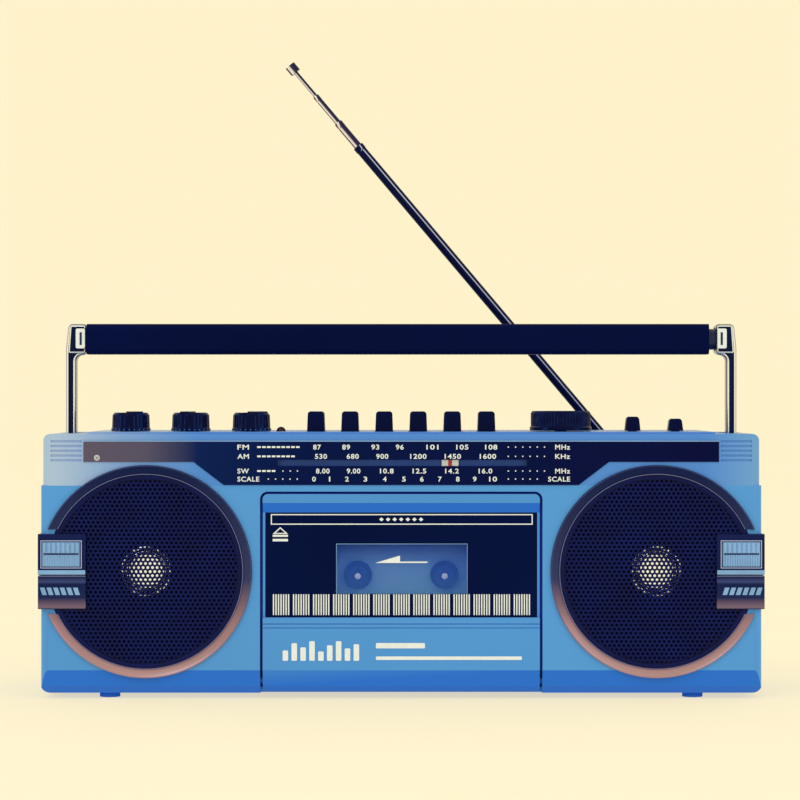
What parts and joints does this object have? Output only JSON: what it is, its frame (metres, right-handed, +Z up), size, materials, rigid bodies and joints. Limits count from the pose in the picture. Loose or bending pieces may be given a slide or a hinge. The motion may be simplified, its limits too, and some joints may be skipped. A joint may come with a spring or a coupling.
{
  "type": "cassette player",
  "caption": "Portable radio cassette recorder with two round speakers, a dial, piano keys, a folding handle, a telescopic aerial and a front cassette door.",
  "frame": {"origin": "on the standing surface under the middle of the cabinet", "axes": "+X to the right seen from the front, -Y to the front, +Z up"},
  "size_m": [0.352, 0.108, 0.3204],
  "materials": {
    "cabinet_blue": "satin",
    "cover_blue": "satin",
    "dial_navy": "gloss",
    "dial_strip": "satin",
    "bright_metal": "polished",
    "ring_metal": "polished",
    "grille_navy": "satin",
    "basket_steel": "matt",
    "cone_navy": "matt",
    "led_red": "gloss",
    "mech_steel": "brushed",
    "chassis_blue": "satin",
    "belt_rubber": "matt",
    "board_green": "matt",
    "ferrite": "matt",
    "socket_black": "matt",
    "feet_blue": "matt",
    "grip_black": "satin",
    "core_steel": "satin",
    "tube_black": "gloss",
    "key_black": "gloss",
    "knob_black": "gloss",
    "drum_plastic": "matt",
    "pointer_red": "gloss",
    "window_smoke": "gloss",
    "holder_plastic": "matt",
    "spindle_navy": "satin",
    "brass": "turned"
  },
  "bodies": {
    "cabinet": {"front_cabinet": "cabinet_blue", "rear_cabinet": "cabinet_blue", "top_cover": "cover_blue", "dial_panel": "dial_navy", "dial_backing": "dial_strip", "pointer_rail": "bright_metal", "speaker_rings": "ring_metal", "speaker_grille_left": "grille_navy", "speaker_grille_right": "grille_navy", "side_trims": "dial_navy", "badge_plates": "bright_metal", "speaker_baskets": "basket_steel", "speaker_cones": "cone_navy", "handle_pivots": "bright_metal", "power_led": "led_red", "potentiometers": "mech_steel", "key_shaft": "bright_metal", "mech_chassis": "chassis_blue", "motor": "mech_steel", "drive_belt": "belt_rubber", "main_board": "board_green", "ferrite_aerial": "ferrite", "power_transformer": "mech_steel", "battery_contacts": "bright_metal", "phone_jack": "socket_black", "power_inlet": "socket_black", "feet": "feet_blue", "cabinet_screws": "bright_metal"},
    "handle": {"handle_arm_left": "bright_metal", "handle_arm_right": "bright_metal", "handle_grip": "grip_black", "handle_core": "core_steel"},
    "aerial_mast_swivel": {"aerial_swivel": "bright_metal"},
    "aerial_base": {"aerial_base_tube": "tube_black"},
    "aerial_middle": {"aerial_middle_tube": "bright_metal"},
    "aerial_upper": {"aerial_upper_tube": "bright_metal"},
    "aerial_end": {"aerial_tip": "bright_metal"},
    "tuning": {"tuning_knob": "knob_black", "tuning_drum": "drum_plastic"},
    "pointer": {"dial_pointer": "pointer_red"},
    "cassette_door": {"door_frame": "cabinet_blue", "door_window": "window_smoke", "cassette_holder": "holder_plastic"},
    "bay_cover": {"battery_cover": "cabinet_blue"},
    "take_up_reel": {"take_up_spindle": "spindle_navy"},
    "supply_reel": {"supply_spindle": "spindle_navy"},
    "capstan_wheel": {"flywheel": "mech_steel"},
    "drive_pulley": {"motor_pulley": "brass"},
    "tape_head": {"head_carriage": "mech_steel"},
    "function_slide": {"function_switch": "key_black"},
    "band_slide": {"band_switch": "key_black"},
    "record_key": {"key_record": "key_black"},
    "play_key": {"key_play": "key_black"},
    "rewind_key": {"key_rewind": "key_black"},
    "fast_forward_key": {"key_fast_forward": "key_black"},
    "stop_key": {"key_stop": "key_black"},
    "pause_key": {"key_pause": "key_black"},
    "volume_control": {"volume_knob": "knob_black"},
    "tone_control": {"tone_knob": "knob_black"},
    "balance_control": {"balance_knob": "knob_black"}
  },
  "joints": [
    {"name": "handle_fold", "type": "hinge", "parent": "cabinet", "child": "handle", "pos_m": [0, -0.018, 0.12], "axis": [-1, 0, 0], "range_deg": [0, 66]},
    {"name": "aerial_turn", "type": "hinge", "parent": "cabinet", "child": "aerial_mast_swivel", "pos_m": [0.1067, 0.048, 0.124], "axis": [0, 0, 1], "range_deg": [-180, 0]},
    {"name": "aerial_tilt", "type": "hinge", "parent": "aerial_mast_swivel", "child": "aerial_base", "pos_m": [0.1067, 0.048, 0.124], "axis": [0, 1, 0], "range_deg": [-49.8, 40.2]},
    {"name": "aerial_slide_middle", "type": "slide", "parent": "aerial_base", "child": "aerial_middle", "axis": [-0.6455, 0, 0.7638], "range_m": [-0.0155, 0.14]},
    {"name": "aerial_slide_upper", "type": "slide", "parent": "aerial_middle", "child": "aerial_upper", "axis": [-0.6455, 0, 0.7638], "range_m": [-0.0175, 0.14]},
    {"name": "aerial_slide_end", "type": "slide", "parent": "aerial_upper", "child": "aerial_end", "axis": [-0.6455, 0, 0.7638], "range_m": [-0.0155, 0.14]},
    {"name": "record_key_press", "type": "hinge", "parent": "cabinet", "child": "record_key", "pos_m": [0, 0.022, 0.121], "axis": [1, 0, 0], "range_deg": [0, 7], "stiffness_Nm_per_rad": 0.35, "springref_deg": -6.88},
    {"name": "play_key_press", "type": "hinge", "parent": "cabinet", "child": "play_key", "pos_m": [0, 0.022, 0.121], "axis": [1, 0, 0], "range_deg": [0, 7], "stiffness_Nm_per_rad": 0.35, "springref_deg": -6.88},
    {"name": "rewind_key_press", "type": "hinge", "parent": "cabinet", "child": "rewind_key", "pos_m": [0, 0.022, 0.121], "axis": [1, 0, 0], "range_deg": [0, 7], "stiffness_Nm_per_rad": 0.35, "springref_deg": -6.88},
    {"name": "fast_forward_key_press", "type": "hinge", "parent": "cabinet", "child": "fast_forward_key", "pos_m": [0, 0.022, 0.121], "axis": [1, 0, 0], "range_deg": [0, 7], "stiffness_Nm_per_rad": 0.35, "springref_deg": -6.88},
    {"name": "stop_key_press", "type": "hinge", "parent": "cabinet", "child": "stop_key", "pos_m": [0, 0.022, 0.121], "axis": [1, 0, 0], "range_deg": [0, 7], "stiffness_Nm_per_rad": 0.35, "springref_deg": -6.88},
    {"name": "pause_key_press", "type": "hinge", "parent": "cabinet", "child": "pause_key", "pos_m": [0, 0.022, 0.121], "axis": [1, 0, 0], "range_deg": [0, 7], "stiffness_Nm_per_rad": 0.35, "springref_deg": -6.88},
    {"name": "volume_turn", "type": "hinge", "parent": "cabinet", "child": "volume_control", "pos_m": [-0.1336, -0.024, 0.13], "axis": [0, 0, 1], "range_deg": [-150, 150]},
    {"name": "tone_turn", "type": "hinge", "parent": "cabinet", "child": "tone_control", "pos_m": [-0.104, -0.024, 0.13], "axis": [0, 0, 1], "range_deg": [-150, 150]},
    {"name": "balance_turn", "type": "hinge", "parent": "cabinet", "child": "balance_control", "pos_m": [-0.074, -0.024, 0.13], "axis": [0, 0, 1], "range_deg": [-150, 150]},
    {"name": "tuning_turn", "type": "hinge", "parent": "cabinet", "child": "tuning", "pos_m": [0.0788, -0.024, 0.13], "axis": [0, 0, 1], "range_deg": [-269.5, 85]},
    {"name": "pointer_travel", "type": "slide", "parent": "cabinet", "child": "pointer", "axis": [1, 0, 0], "range_m": [-0.0659, 0.0208]},
    {"name": "function_select", "type": "slide", "parent": "cabinet", "child": "function_slide", "axis": [1, 0, 0], "range_m": [-0.004, 0.004]},
    {"name": "band_select", "type": "slide", "parent": "cabinet", "child": "band_slide", "axis": [1, 0, 0], "range_m": [-0.004, 0.004]},
    {"name": "door_swing", "type": "hinge", "parent": "cabinet", "child": "cassette_door", "pos_m": [0, -0.046, 0.0085], "axis": [1, 0, 0], "range_deg": [0, 35]},
    {"name": "cover_pull", "type": "slide", "parent": "cabinet", "child": "bay_cover", "axis": [0, 1, 0], "range_m": [0, 0.03]},
    {"name": "take_up_spin", "type": "hinge", "parent": "cabinet", "child": "take_up_reel", "pos_m": [-0.02125, -0.03, 0.059], "axis": [0, 1, 0], "continuous": true},
    {"name": "supply_spin", "type": "hinge", "parent": "cabinet", "child": "supply_reel", "pos_m": [0.02125, -0.03, 0.059], "axis": [0, 1, 0], "continuous": true},
    {"name": "capstan_spin", "type": "hinge", "parent": "cabinet", "child": "capstan_wheel", "pos_m": [-0.019, -0.03, 0.084], "axis": [0, 1, 0], "continuous": true},
    {"name": "motor_spin", "type": "hinge", "parent": "cabinet", "child": "drive_pulley", "pos_m": [0.036, -0.02, 0.084], "axis": [0, 1, 0], "continuous": true},
    {"name": "head_lift", "type": "slide", "parent": "cabinet", "child": "tape_head", "axis": [0, 0, -1], "range_m": [0, 0.003]}
  ],
  "couplings": [
    {"joint": "pointer_travel", "follows": "tuning_turn", "m_per_rad": 0.014},
    {"joint": "motor_spin", "follows": "capstan_spin", "ratio": 4.5},
    {"joint": "head_lift", "follows": "play_key_press", "m_per_rad": 0.024455}
  ]
}
